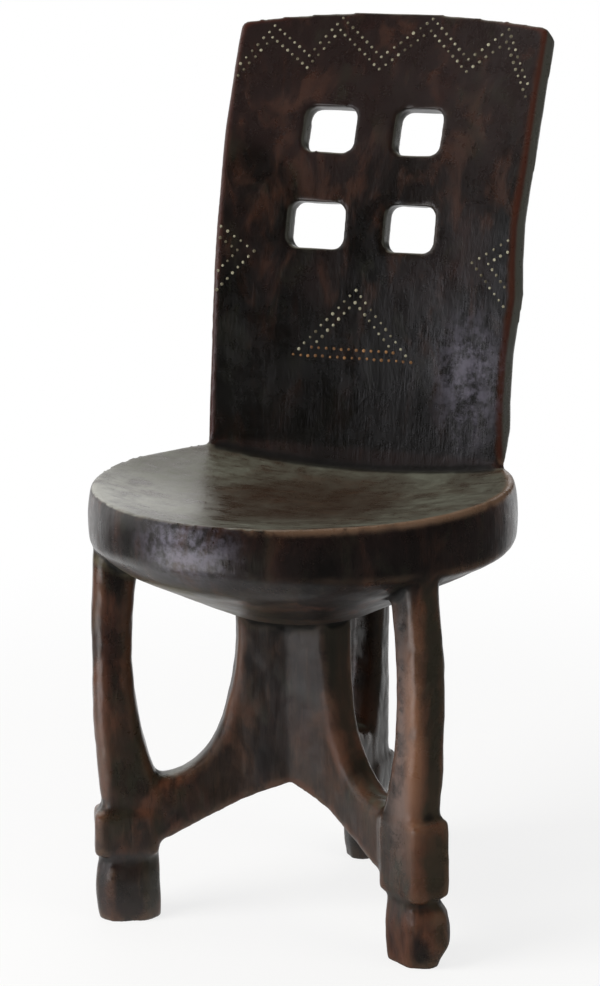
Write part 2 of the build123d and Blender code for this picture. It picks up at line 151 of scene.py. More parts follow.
LEGS = ("front_left", "front_right", "rear")
MEMBERS = ("post", "brace", "cuff", "foot")
PIN_NODES = (
    "upper_zigzag_pins",
    "lower_zigzag_pins",
    "left_chevron_pins",
    "right_chevron_pins",
    "triangle_side_pins",
    "triangle_base_pins",
)

# ---------------------------------------------------------------- numbers over many points

HASH_CELL = (374761393, 668265263, 2147483647)
HASH_SEED = 974634777
HASH_MIX = 1274126177
HASH_BITS = 0xFFFFFF
FACET_JITTER = 0.42
FAR = 9.0  # further than any facet's middle


def smooth_step(low, high, value):
    """0 at low, 1 at high, and a smooth rise between."""
    share = np.clip((value - low) / (high - low), 0.0, 1.0)
    return share * share * (3.0 - 2.0 * share)


def lattice(cells, seed):
    """A repeatable value from -1 to 1 for each whole-number cell."""
    n = cells[:, 0] * HASH_CELL[0] + cells[:, 1] * HASH_CELL[1] + cells[:, 2] * HASH_CELL[2]
    n = n + seed * HASH_SEED
    n = (n ^ (n >> 13)) * HASH_MIX
    n = n ^ (n >> 16)
    return (n & HASH_BITS).astype(float) / (HASH_BITS >> 1) - 1.0


def lumps(points, size, seed):
    """Smooth random lumps from -1 to 1, each one size wide."""
    scaled = points / np.asarray(size)
    base = np.floor(scaled).astype(np.int64)
    part = scaled - base
    part = part * part * (3.0 - 2.0 * part)
    total = np.zeros(len(points))
    for corner in range(8):
        offset = np.array([corner & 1, corner >> 1 & 1, corner >> 2 & 1])
        weight = np.prod(np.where(offset, part, 1.0 - part), axis=1)
        total += weight * lattice(base + offset, seed)
    return total


def facets(points, size, seed):
    """Flat facets parted by shallow grooves, from each point's distance to the nearest two middles."""
    scaled = points / np.asarray(size)
    base = np.floor(scaled).astype(np.int64)
    nearest = np.full(len(points), FAR)
    second = np.full(len(points), FAR)
    for corner in range(27):
        offset = np.array([corner % 3 - 1, corner // 3 % 3 - 1, corner // 9 - 1])
        cell = base + offset
        jitter = np.stack([lattice(cell, seed + k) for k in (1, 2, 3)], axis=1) * FACET_JITTER
        away = np.linalg.norm(cell + 0.5 + jitter - scaled, axis=1)
        second = np.where(away < nearest, nearest, np.minimum(second, away))
        nearest = np.minimum(nearest, away)
    return np.minimum(second - nearest, FLAT_TOP) - FLAT_TOP / 2


def weighted(weights, fields):
    """The sum of fields of numbers, each times its weight."""
    return sum(weight * field for weight, field in zip(weights, fields))


# ---------------------------------------------------------------- meshes


def coordinates(mesh):
    co = np.empty(len(mesh.vertices) * 3)
    mesh.vertices.foreach_get("co", co)
    return co.reshape(-1, 3)


def move_vertices(mesh, points):
    mesh.vertices.foreach_set("co", points.reshape(-1).astype(np.float32))
    mesh.update()


def vertex_normals(mesh):
    normals = np.empty(len(mesh.vertices) * 3, np.float32)
    mesh.vertex_normals.foreach_get("vector", normals)
    return normals.reshape(-1, 3).astype(float)


def edge_pairs(mesh):
    pairs = np.empty(len(mesh.edges) * 2, np.int32)
    mesh.edges.foreach_get("vertices", pairs)
    return pairs.reshape(-1, 2)


def neighbour_mean(values, pairs):
    """The mean of each vertex's neighbours, for a column of values or several."""
    values = values.reshape(len(values), -1)
    count = np.bincount(pairs.reshape(-1), minlength=len(values)).astype(float)
    total = np.empty_like(values)
    for k in range(values.shape[1]):
        total[:, k] = np.bincount(pairs[:, 0], values[pairs[:, 1], k], len(values))
        total[:, k] += np.bincount(pairs[:, 1], values[pairs[:, 0], k], len(values))
    return total / count[:, None]


def relax(points, pairs, rounds, share=1.0):
    """Moves each point halfway to its neighbours' mean, or less by its share, several times."""
    weight = np.broadcast_to(0.5 * share, len(points))[:, None]
    for _ in range(rounds):
        points = points + weight * (neighbour_mean(points, pairs) - points)
    return points


def from_axis(points):
    """Each point's distance from the seat's axis."""
    return np.hypot(points[:, 0] - AXIS.x, points[:, 1] - AXIS.y)


def shade_smooth(mesh):
    """Shades every face as part of one curved surface."""
    mesh.polygons.foreach_set("use_smooth", [True] * len(mesh.polygons))


def finished_mesh(name, bm):
    """A new mesh from a bmesh, which is freed."""
    mesh = bpy.data.meshes.new(name)
    bm.to_mesh(mesh)
    bm.free()
    return mesh


def new_object(name, data):
    obj = bpy.data.objects.new(name, data)
    bpy.context.scene.collection.objects.link(obj)
    return obj


def welded(node):
    """A bmesh of a CAD node's mesh, its double vertices joined."""
    bm = bmesh.new()
    bm.from_mesh(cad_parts[node].data)
    bmesh.ops.remove_doubles(bm, verts=bm.verts, dist=WELD)
    return bm


def member_mesh(node):
    """A welded copy of a CAD node's mesh."""
    return finished_mesh(node + "_blank", welded(node))


# ---------------------------------------------------------------- the seat's blank


def rounded(points, cuts, steps=6):
    """A path with each inner corner replaced by a curve that starts its cut's length away."""
    path = [points[0]]
    for before, corner, after, cut in zip(points, points[1:], points[2:], cuts):
        before, corner, after = Vector(before), Vector(corner), Vector(after)
        start = corner + (before - corner).normalized() * cut
        end = corner + (after - corner).normalized() * cut
        for i in range(steps + 1):
            t = i / steps
            path.append(tuple(start * (1 - t) ** 2 + corner * 2 * t * (1 - t) + end * t * t))
    path.append(points[-1])
    return path


def seat_profile():
    """Radius and height along the seat's outline, from the dish's middle to the bowl's."""
    top_radius = SEAT_RADIUS - RIM_TOP_INSET
    dish = []
    for i in range(DISH_STEPS):
        radius = top_radius * i / DISH_STEPS
        dish.append((radius, RIM_TOP - DISH_DEPTH * (1 - (radius / top_radius) ** 2)))
    corners = [
        dish[-1],
        (top_radius, RIM_TOP),
        (SEAT_RADIUS, RIM_TOP - RIM_DEPTH * RIM_WIDEST),
        (SEAT_RADIUS - RIM_FOOT_INSET, RIM_TOP - RIM_DEPTH),
        (SEAT_RADIUS - BROW_INSET, BROW),
        (BOWL_FLAT, BOWL_BOTTOM),
        (0.0, BOWL_BOTTOM),
    ]
    return dish[:-1] + rounded(corners, CORNER_CUTS)


def uneven(radius, height, angle):
    """Where a point of the turned seat lies once its disc and its rim's depth are as carved."""
    near_rim = float(smooth_step(*RIM_ZONE, radius))
    turn = abs((angle - RIM_SWELL_ANGLE + math.pi) % (2 * math.pi) - math.pi)
    swell = math.cos(min(turn / RIM_SWELL_REACH, 1.0) * math.pi / 2) ** 2
    out = radius + RIM_SWELL * swell * near_rim
    on_face = float(smooth_step(*RIM_DROP_FROM, height)) * float(smooth_step(*RIM_DROP_TO, height))
    drop = DROP_ALL + DROP_SIDES * math.cos(2 * angle) + DROP_RIGHT * math.cos(angle)
    drop = drop * MM * on_face * near_rim
    return (AXIS.x + out * math.cos(angle), AXIS.y + out * math.sin(angle), height - drop)


def seat_blank(spokes=288):
    """The turned blank of the seat, its disc and its rim's depth uneven as carved."""
    profile = seat_profile()
    bm = bmesh.new()
    rings = []
    for radius, height in profile[1:-1]:
        angles = [2 * math.pi * i / spokes for i in range(spokes)]
        rings.append([bm.verts.new(uneven(radius, height, angle)) for angle in angles])
    top = bm.verts.new((AXIS.x, AXIS.y, profile[0][1]))
    bottom = bm.verts.new((AXIS.x, AXIS.y, profile[-1][1]))
    for i in range(spokes):
        j = (i + 1) % spokes
        bm.faces.new((top, rings[0][i], rings[0][j]))
        bm.faces.new((bottom, rings[-1][j], rings[-1][i]))
        for upper, lower in zip(rings, rings[1:]):
            bm.faces.new((upper[i], lower[i], lower[j], upper[j]))
    bmesh.ops.recalc_face_normals(bm, faces=bm.faces)
    return finished_mesh("seat_blank", bm)


# ---------------------------------------------------------------- the carved block


def fused(blanks):
    """One closed mesh around all the blanks, as the log is one piece."""
    bm = bmesh.new()
    for mesh in blanks:
        bm.from_mesh(mesh)
    source = new_object("blanks", finished_mesh("blanks", bm))
    remesh = source.modifiers.new("fuse", "REMESH")
    remesh.mode = "VOXEL"
    remesh.voxel_size = VOXEL
    remesh.adaptivity = 0.0
    graph = bpy.context.evaluated_depsgraph_get()
    mesh = bpy.data.meshes.new_from_object(source.evaluated_get(graph))
    bpy.data.objects.remove(source)
    return mesh


def softened(node, rounds):
    """A closed blank around a member, its arrises rubbed round."""
    mesh = fused([member_mesh(node)])
    move_vertices(mesh, relax(coordinates(mesh), edge_pairs(mesh), rounds))
    return mesh


def bowl_clearance(points):
    """How far each point hangs below the bowl's slope."""
    slope = (BROW - BOWL_BOTTOM) / (SEAT_RADIUS - BROW_INSET - BOWL_FLAT)
    return BOWL_BOTTOM + np.clip(from_axis(points) - BOWL_FLAT, 0.0, None) * slope - points[:, 2]


def swell_edge(points):
    """The slab's uneven right edge, and the width that its smoothing took."""
    heights = [RIM_TOP + h * MM for h, _ in EDGE_SWELLS]
    gains = [gain * MM for _, gain in EDGE_SWELLS]
    gain = np.interp(points[:, 2], heights, gains, left=0.0)
    back_low, back_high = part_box("backrest")
    half = (back_high.x - back_low.x) / 2
    share = (points[:, 0] - (back_low.x + back_high.x) / 2) / half
    above = smooth_step(*SLAB_ZONE, points[:, 2])
    sides = smooth_step(*SIDE_ZONE, share) - smooth_step(*SIDE_ZONE, -share)
    points[:, 0] += gain * above * smooth_step(*EDGE_ZONE, share)
    points[:, 0] += SLAB_GAIN * above * sides


def swell_right_leg(points):
    """The front right leg's post and foot, fuller on their outer side."""
    post_low, post_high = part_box("front_right_post")
    _, foot_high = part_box("front_right_foot")
    height = points[:, 2]
    outer = smooth_step(post_high.x - OUTER_SIDE[0], post_high.x - OUTER_SIDE[1], points[:, 0])
    outer *= smooth_step(*FRONT_SIDE, points[:, 1] - AXIS.y)
    on_post = smooth_step(*POST_GAIN_TOP, height)
    on_post *= smooth_step(post_low.z, post_low.z + POST_GAIN_RISE, height)
    points[:, 0] += POST_GAIN * outer * on_post
    on_foot = smooth_step(*FOOT_GAIN_RISE, height)
    on_foot *= smooth_step(foot_high.z, foot_high.z - FOOT_GAIN_FALL, height)
    points[:, 0] += FOOT_GAIN * outer * on_foot


def tool_marks(points):
    """How far the adze and the knife left each point proud, in metres."""
    legs = smooth_step(*LEG_MARKS, bowl_clearance(points))
    slab = smooth_step(*SLAB_MARKS, points[:, 2])
    seat = (1.0 - legs) * (1.0 - slab)
    cuts = facets(points, CUT_SIZE, CUT_SEED)
    chips = facets(points, CHIP_SIZE, CHIP_SEED)
    broad = lumps(points, BROAD_SIZE, BROAD_SEED)
    middle = lumps(points, MIDDLE_SIZE, MIDDLE_SEED)
    fine = lumps(points, FINE_SIZE, FINE_SEED)
    depth = legs * weighted(LEG_DEPTHS, (cuts, broad, middle, fine))
    depth += slab * weighted(SLAB_DEPTHS, (broad, middle, fine))
    depth += seat * weighted(SEAT_DEPTHS, (broad, chips, middle, fine))
    return depth * MM


def on_floor(points):
    """No point under the floor."""
    points[:, 2] = np.maximum(points[:, 2], 0.0)
    return points


def carve():
    """The chair's block: fused blanks, joints eased, arrises worn, and the adze's marks."""
    members = [member_mesh(leg + "_" + member) for leg in LEGS for member in MEMBERS]
    mesh = fused([seat_blank(), member_mesh("backrest")] + members)
    points = coordinates(mesh)
    rubbed = smooth_step(*RUB_ZONE, bowl_clearance(points))
    move_vertices(mesh, relax(points, edge_pairs(mesh), RUB_ROUNDS, rubbed))
    cuffs = [softened(leg + "_cuff", CUFF_ROUNDS) for leg in LEGS]
    feet = [softened(leg + "_foot", FOOT_ROUNDS) for leg in LEGS]
    mesh = fused([mesh] + cuffs + feet)
    points = relax(coordinates(mesh), edge_pairs(mesh), EASE_ROUNDS)
    swell_edge(points)
    swell_right_leg(points)
    points[:, 2] -= SOLE_PRESS * smooth_step(*SOLE_ZONE, points[:, 2])
    points = on_floor(points)
    move_vertices(mesh, points)
    move_vertices(mesh, on_floor(points + vertex_normals(mesh) * tool_marks(points)[:, None]))
    return mesh


def mark_wear(mesh):
    """Point attributes for the finish: arrises, hollows, distance from the axis, the bowl."""
    pairs = edge_pairs(mesh)
    points = coordinates(mesh)
    wide = points
    for _ in range(WIDE_ROUNDS):
        wide = neighbour_mean(wide, pairs)
    bulge = ((points - wide) * vertex_normals(mesh)).sum(1)
    for _ in range(CALM_ROUNDS):
        bulge = neighbour_mean(bulge, pairs)[:, 0]
    bowl = smooth_step(*BOWL_ZONE, bowl_clearance(points))
    bowl *= smooth_step(*UNDER_RIM, points[:, 2])
    marks = {
        "arris": np.clip(bulge / ARRIS_BULGE, 0.0, 1.0),
        "hollow": np.clip(-bulge / HOLLOW_DEPTH, 0.0, 1.0),
        "away": from_axis(points),
        "bowl": bowl,
    }
    for name, values in marks.items():
        attribute = mesh.attributes.new(name, "FLOAT", "POINT")
        attribute.data.foreach_set("value", values.astype(np.float32))


# ---------------------------------------------------------------- pins


def pin_places(node):
    """Middle of the head and outward direction of each wire in a CAD group of pins."""
    bm = welded(node)
    seen = set()
    places = []
    for seed in bm.verts:
        if seed in seen:
            continue
        island = [seed]
        seen.add(seed)
        for vert in island:
            for edge in vert.link_edges:
                other = edge.other_vert(vert)
                if other not in seen:
                    seen.add(other)
                    island.append(other)
        front = sorted(island, key=lambda v: v.co.y)[: len(island) // 2]
        rear = [v for v in island if v not in front]
        head = sum((v.co for v in front), Vector()) / len(front)
        tail = sum((v.co for v in rear), Vector()) / len(rear)
        places.append((head, (head - tail).normalized()))
    bm.free()
    return sorted(places, key=lambda p: (round(p[0].x, 4), round(p[0].z, 4)))


def add_pin(bm, hit, normal, rng):
    """One hammered wire end, seated at a place on the carved face."""
    side = normal.orthogonal().normalized()
    shift = Matrix.Rotation(rng.uniform(0, PIN_TURN), 3, normal) @ side * rng.uniform(0, PIN_SHIFT)
    radius = rng.uniform(*PIN_RADIUS) * MM
    axis = Matrix.Rotation(rng.uniform(-PIN_TILT, PIN_TILT), 3, side) @ normal
    right = axis.orthogonal().normalized()
    up = axis.cross(right)
    middle = hit + shift
    rings = []
    for share, rise in PIN_RINGS:
        ring = []
        for i in range(PIN_SPOKES):
            angle = 2 * math.pi * i / PIN_SPOKES
            flat = right * math.cos(angle) + up * math.sin(angle)
            ring.append(bm.verts.new(middle + flat * radius * share + axis * rise * MM))
        rings.append(ring)
    crown = bm.verts.new(middle + axis * PIN_CROWN)
    for lower, upper in zip(rings, rings[1:]):
        for i in range(PIN_SPOKES):
            j = (i + 1) % PIN_SPOKES
            bm.faces.new((lower[i], lower[j], upper[j], upper[i]))
    for i in range(PIN_SPOKES):
        bm.faces.new((rings[-1][i], rings[-1][(i + 1) % PIN_SPOKES], crown))
    bm.faces.new(list(reversed(rings[0])))


def make_pins(node, surface, rng):
    """The hammered ends of a group of wires, each seated on the carved face."""
    bm = bmesh.new()
    for head, out in pin_places(node):
        hit, normal, _, _ = surface.ray_cast(head + out * PIN_SEARCH, -out, 2 * PIN_SEARCH)
        if hit is not None:
            add_pin(bm, hit, normal, rng)
    bmesh.ops.recalc_face_normals(bm, faces=bm.faces)
    mesh = finished_mesh(node + "_ends", bm)
    shade_smooth(mesh)
    return new_object(node + "_ends", mesh)


# ---------------------------------------------------------------- node trees

NEAR_CORE = 0.15  # share of a place's reach within which it counts in full
WHITE = (1.0, 1.0, 1.0)


class Nodes:
    """Short calls for building a material's or world's node tree."""

    def __init__(self, owner):
        owner.use_nodes = True
        self.tree = owner.node_tree
        self.tree.nodes.clear()

    def add(self, kind, **values):
        node = self.tree.nodes.new(kind)
        for key, value in values.items():
            setattr(node, key, value)
        return node

    def link(self, source, target):
        self.tree.links.new(source, target)

    def feed(self, node, name, value):
        """Links a socket, or sets a plain value, on a named or numbered input."""
        if isinstance(value, bpy.types.NodeSocket):
            self.link(value, node.inputs[name])
        else:
            node.inputs[name].default_value = value

    def math(self, operation, a, b=0.0, clamp=False):
        node = self.add("ShaderNodeMath", operation=operation, use_clamp=clamp)
        self.feed(node, 0, a)
        self.feed(node, 1, b)
        return node.outputs[0]

    def times(self, first, *others):
        for other in others:
            first = self.math("MULTIPLY", first, other)
        return first

    def plus(self, a, b):
        return self.math("ADD", a, b)

    def without(self, share):
        return self.math("SUBTRACT", 1.0, share)

    def larger(self, a, b):
        return self.math("MAXIMUM", a, b)

    def between(self, share, at_none, at_all):
        """A value that goes from one number to another as a share goes from 0 to 1."""
        return self.plus(self.times(share, at_all - at_none), at_none)

    def total(self, *terms):
        """The sum of values, each given with its weight."""
        parts = [self.times(value, weight) for value, weight in terms]
        whole = parts[0]
        for part in parts[1:]:
            whole = self.plus(whole, part)
        return whole

    def place(self):
        return self.add("ShaderNodeTexCoord").outputs["Object"]

    def stretch(self, scale):
        """Object coordinates, scaled along each axis."""
        mapping = self.add("ShaderNodeMapping")
        self.link(self.place(), mapping.inputs["Vector"])
        mapping.inputs["Scale"].default_value = scale
        return mapping.outputs["Vector"]

    def noise(self, scale, detail, rough, warp=0.0, by=(1, 1, 1)):
        node = self.add("ShaderNodeTexNoise")
        self.link(self.stretch(by), node.inputs["Vector"])
        node.inputs["Scale"].default_value = scale
        node.inputs["Detail"].default_value = detail
        node.inputs["Roughness"].default_value = rough
        node.inputs["Distortion"].default_value = warp
        return node.outputs["Fac"]

    def ramp(self, value, low, high, smooth=True):
        """0 at low and 1 at high."""
        node = self.add("ShaderNodeMapRange")
        node.interpolation_type = "SMOOTHSTEP" if smooth else "LINEAR"
        self.feed(node, "Value", value)
        node.inputs["From Min"].default_value = low
        node.inputs["From Max"].default_value = high
        return node.outputs["Result"]

    def mix(self, share, a, b):
        node = self.add("ShaderNodeMix", data_type="RGBA")
        self.feed(node, 0, share)
        for place, value in ((6, a), (7, b)):
            if isinstance(value, bpy.types.NodeSocket):
                self.link(value, node.inputs[place])
            else:
                node.inputs[place].default_value = (*value, 1.0)
        return node.outputs[2]

    def tint(self, base, color, *shares):
        """The base with a colour over it, by the product of the shares."""
        return self.mix(self.times(*shares), base, color)

    def dot(self, vector, direction):
        node = self.add("ShaderNodeVectorMath", operation="DOT_PRODUCT")
        self.link(vector, node.inputs[0])
        node.inputs[1].default_value = direction
        return node.outputs["Value"]

    def split(self, vector):
        """The three parts of a vector."""
        node = self.add("ShaderNodeSeparateXYZ")
        self.link(vector, node.inputs[0])
        return node.outputs["X"], node.outputs["Y"], node.outputs["Z"]

    def near(self, middle, scale, reach):
        """1 at a place on the object, falling to 0 at a reach that each axis's scale shortens."""
        node = self.add("ShaderNodeVectorMath", operation="DISTANCE")
        self.link(self.stretch(scale), node.inputs[0])
        node.inputs[1].default_value = [m * k for m, k in zip(middle, scale)]
        return self.ramp(node.outputs["Value"], reach, NEAR_CORE * reach)

    def unit(self, vector):
        node = self.add("ShaderNodeVectorMath", operation="NORMALIZE")
        self.link(vector, node.inputs[0])
        return node.outputs["Vector"]

    def attribute(self, name):
        return self.add("ShaderNodeAttribute", attribute_name=name).outputs["Fac"]

    def finish(self, shader, kind="ShaderNodeOutputMaterial"):
        self.link(shader.outputs[0], self.add(kind).inputs["Surface"])


# ---------------------------------------------------------------- the wood

BLACK = (0.0026, 0.0022, 0.0015)
UMBER = (0.0150, 0.0088, 0.0078)
BROWN = (0.0520, 0.0270, 0.0150)
RUSSET = (0.1100, 0.0420, 0.0220)
BLOOD = (0.0550, 0.0150, 0.0090)
AMBER = (0.2100, 0.0950, 0.0480)
HIGHLIGHT_ROSE = (0.2100, 0.1350, 0.1080)
TAN = (0.1700, 0.1000, 0.0600)
OLIVE = (0.0230, 0.0235, 0.0140)
SHADED_SIDE_OLIVE = (0.0360, 0.0320, 0.0190)
SAGE = (0.1650, 0.1450, 0.0720)
DUST = (0.1600, 0.1680, 0.1300)
PALE_REFLECTION = (0.3700, 0.3680, 0.3300)
ASH = (0.0820, 0.0820, 0.0680)
PAINTED_SHEEN_LAVENDER = (0.1550, 0.1430, 0.1850)

# Scale, detail, roughness, distortion and stretch of each noise in the wood
WOOD_NOISES = {
    "grain": (34.0, 6.0, 0.62, 0.6, (5.0, 5.0, 0.55)),
    "streaks": (9.0, 4.0, 0.55, 0.8, (3.2, 3.2, 0.7)),
    "patches": (7.0, 4.0, 0.55, 0.7, (1.0, 1.0, 0.7)),
    "blotches": (16.0, 5.0, 0.6, 0.3),
    "ruddy": (26.0, 5.0, 0.62, 0.5, (1.0, 1.0, 0.45)),
    "mould": (31.0, 5.0, 0.62, 0.5, (1.0, 1.0, 0.55)),
    "mottle": (44.0, 6.0, 0.68, 0.3),
    "broken": (60.0, 4.0, 0.65, 0.4),
    "scratches": (95.0, 3.0, 0.6, 0.2, (0.25, 2.2, 1.0)),
    "fine": (130.0, 4.0, 0.65),
    "speckle": (210.0, 3.0, 0.6),
    "pores": (420.0, 2.0, 0.6, 0.0, (1.0, 1.0, 0.12)),
}

# Places with painted sheens, a painted reflection and painted highlights of their own: middle, scale along
# each axis, reach
RIM_FRONT = math.radians(-97)
RIM_PAINTED_SHEEN = (
    (
        AXIS.x + SEAT_RADIUS * math.cos(RIM_FRONT),
        AXIS.y + SEAT_RADIUS * math.sin(RIM_FRONT),
        RIM_TOP - 25 * MM,
    ),
    (1.0, 1.0, 1.6),
    75 * MM,
)
SLAB_PAINTED_SHEEN = ((126 * MM, 0.0, RIM_TOP + 85 * MM), (1.4, 0.0, 0.8), 75 * MM)
SEAT_PAINTED_REFLECTION = ((AXIS.x - 175 * MM, AXIS.y - 125 * MM, 0.0), (1.0, 1.0, 0.0), 165 * MM)
POST_PAINTED_HIGHLIGHT = ((154 * MM, -140 * MM, 225 * MM), (1.0, 1.0, 0.14), 27 * MM)
POST_ARRIS_WEAR_AND_HIGHLIGHT = ((167 * MM, -148 * MM, 240 * MM), (1.0, 1.0, 0.10), 17 * MM)

GRAIN_RELIEF = 0.9 * MM
GRAIN_STRENGTH = 0.55
SATIN = 0.17  # roughness of the best-handled wood
COAT_WEIGHT = 0.10
COAT_ROUGHNESS = 0.20


def wood_zones(n):
    """Shares from 0 to 1 by where on the chair a point is and which way it faces."""
    x, y, z = n.split(n.place())
    facing_right, facing_rear, facing_up = n.split(n.add("ShaderNodeNewGeometry").outputs["Normal"])
    away = n.attribute("away")
    upper = n.ramp(z, RIM_TOP - 85 * MM, RIM_TOP - 45 * MM)
    below = n.without(upper)
    on_slab = n.ramp(z, RIM_TOP + 2 * MM, RIM_TOP + 12 * MM)
    edge = n.times(n.ramp(n.math("ABSOLUTE", x), 105 * MM, 130 * MM), on_slab)
    return {
        "upper": upper,
        "below": below,
        "on slab": on_slab,
        "slab top": n.ramp(z, RIM_TOP + 190 * MM, RIM_TOP + 400 * MM),
        "slab low": n.times(n.ramp(z, RIM_TOP + 200 * MM, RIM_TOP + 50 * MM), on_slab),
        "slab side": n.times(n.ramp(facing_right, 0.45, 0.85), on_slab),
        "slab edge": n.times(edge, n.ramp(facing_rear, -0.25, -0.75)),
        "front": n.ramp(facing_rear, 0.20, -0.30),
        "upward": n.ramp(facing_up, 0.60, 0.97),
        "outward": n.math("ADD", n.ramp(away, 50 * MM, 180 * MM), 0.22, clamp=True),
        "to left": n.ramp(x, 90 * MM, -110 * MM),
        "to right": n.ramp(x, -60 * MM, 190 * MM),
        "right of leg": n.times(n.ramp(facing_right, 0.40, 0.85), below),
        "sheltered": n.times(n.ramp(away, 120 * MM, 70 * MM), below),
        "shaded": n.times(n.ramp(y, AXIS.y + 25 * MM, AXIS.y + 75 * MM), below),
        "bowl": n.attribute("bowl"),
        "arris": n.ramp(n.attribute("arris"), 0.18, 0.75),
        "soft arris": n.ramp(n.attribute("arris"), 0.05, 0.32),
        "hollow": n.ramp(n.attribute("hollow"), 0.16, 0.65),
    }


def stained_wood(n, noise, zone):
    """The oiled wood under its dust: smoke-black patina above, red-brown legs, and the slab paler at its
    top and darker at its bottom as painted light and shade.
    """
    # Painted light: the slab paler towards its top; off the slab, the rim's own paler tone.
    lit_top_and_rim_tone = n.total((zone["slab top"], 0.30), (n.without(zone["on slab"]), 0.20))
    smoke = n.plus(noise["patches"], lit_top_and_rim_tone)
    smoked = n.mix(n.ramp(smoke, 0.44, 0.80), BLACK, UMBER)
    legs = n.mix(n.ramp(noise["patches"], 0.38, 0.66), UMBER, BROWN)
    legs = n.tint(legs, BLACK, n.ramp(noise["blotches"], 0.56, 0.40), 0.55)
    base = n.mix(zone["upper"], legs, smoked)
    reddened = n.between(zone["upper"], 0.80, 0.24)
    base = n.tint(base, RUSSET, n.ramp(noise["ruddy"], 0.50, 0.70), reddened)
    base = n.tint(base, OLIVE, n.ramp(noise["mould"], 0.52, 0.72), n.between(zone["upper"], 0.75, 0.37))
    base = n.tint(base, BLOOD, n.ramp(noise["streaks"], 0.54, 0.74), reddened, 0.5)
    base = n.tint(base, TAN, n.ramp(noise["grain"], 0.54, 0.80), n.between(zone["upper"], 0.24, 0.04))
    base = n.tint(base, BLACK, n.ramp(noise["pores"], 0.60, 0.70), 0.5)
    # Painted shade: the slab darker towards its bottom.
    return n.tint(base, BLACK, zone["slab low"], 0.72)


def dusted_wood(n, noise, zone, base):
    """Dust on what faces up, a painted reflection on the seat's left, painted light on the bowl's left,
    and a painted shade tone on the legs' right sides.
    """
    film = n.total((noise["blotches"], 0.6), (noise["mottle"], 0.55), (noise["scratches"], 0.25))
    dusty = n.times(zone["upward"], n.ramp(film, 0.42, 1.00), zone["outward"], 0.92)
    base = n.tint(base, BROWN, zone["upward"], 0.50)
    base = n.mix(dusty, base, DUST)
    # Painted reflection: a pale patch on the seat's left, broken up like the dust.
    base = n.tint(base, PALE_REFLECTION, n.near(*SEAT_PAINTED_REFLECTION), n.ramp(film, 0.58, 0.80), zone["upward"], 0.90)
    # Painted light: the bowl's left side paler, in a sage tone broken up like the dust.
    base = n.tint(base, SAGE, zone["bowl"], n.ramp(film, 0.42, 0.95), zone["to left"], 0.85)
    # Painted shade tone: olive on the legs' sides that face right.
    base = n.tint(base, SHADED_SIDE_OLIVE, zone["right of leg"], 0.60)
    base = n.tint(base, BROWN, zone["sheltered"], n.ramp(noise["ruddy"], 0.36, 0.62), 0.55)
    return base, dusty


def worn_wood(n, noise, zone, base):
    """Arrises rubbed bare, with painted highlights on some, the slab's edges, painted shade behind,
    painted sheens, a post's painted highlight, and painted shade in the hollows.
    """
    # Arrises worn bare, and towards the rim's right a painted highlight along its arris.
    rubbed = n.larger(n.times(zone["to right"], zone["upper"]), n.times(zone["below"], 0.5))
    bare = n.ramp(n.plus(noise["broken"], n.times(rubbed, 0.28)), 0.46, 0.68)
    less_on_slab = n.between(zone["on slab"], 1.0, 0.18)
    base = n.tint(base, TAN, zone["arris"], bare, n.between(rubbed, 0.10, 0.85), less_on_slab)
    # Reddened arrises on the legs: wear, and painted highlights along them.
    ruddy_leg = n.times(n.ramp(noise["ruddy"], 0.40, 0.62), zone["below"])
    base = n.tint(base, RUSSET, zone["soft arris"], ruddy_leg, 0.5)
    base = n.tint(base, ASH, zone["slab side"], 0.75)
    base = n.tint(base, BLOOD, zone["arris"], zone["slab edge"], 0.75)
    # Painted shade: black towards the rear, below the seat.
    base = n.tint(base, BLACK, zone["shaded"], 0.65)
    # Painted sheens: lavender reflections, mottled, on the rim's front and the slab's lower right.
    painted_sheen = n.larger(n.near(*RIM_PAINTED_SHEEN), n.times(n.near(*SLAB_PAINTED_SHEEN), 0.72))
    sheen_mottle = n.ramp(n.plus(noise["mottle"], noise["fine"]), 0.82, 1.22)
    base = n.tint(base, PAINTED_SHEEN_LAVENDER, painted_sheen, sheen_mottle, zone["front"], 0.75)
    # Painted highlight on the front right post's face.
    base = n.tint(base, HIGHLIGHT_ROSE, n.near(*POST_PAINTED_HIGHLIGHT), n.ramp(noise["mottle"], 0.34, 0.60), 0.70)
    # Worn arris with a painted highlight on the front right post.
    base = n.tint(base, AMBER, n.near(*POST_ARRIS_WEAR_AND_HIGHLIGHT), n.ramp(noise["ruddy"], 0.24, 0.50), 0.85)
    # Painted shade in the hollows and creases.
    return n.tint(base, BLACK, zone["hollow"], 0.85)


def wood_roughness(n, noise, zone, dusty):
    """Satin where it is handled, duller under dust, in hollows and between the legs."""
    scuffed = n.times(zone["upward"], n.math("SUBTRACT", noise["scratches"], 0.5))
    uneven_sheen = n.total(
        (n.ramp(noise["blotches"], 0.3, 0.7, smooth=False), 0.12),
        (n.ramp(noise["mottle"], 0.3, 0.7, smooth=False), 0.14),
        (dusty, 0.12),
        (zone["hollow"], 0.30),
        (zone["sheltered"], 0.20),
        (zone["bowl"], 0.15),
        (scuffed, 0.30),
        (zone["slab low"], -0.04),
    )
    return n.plus(uneven_sheen, SATIN)


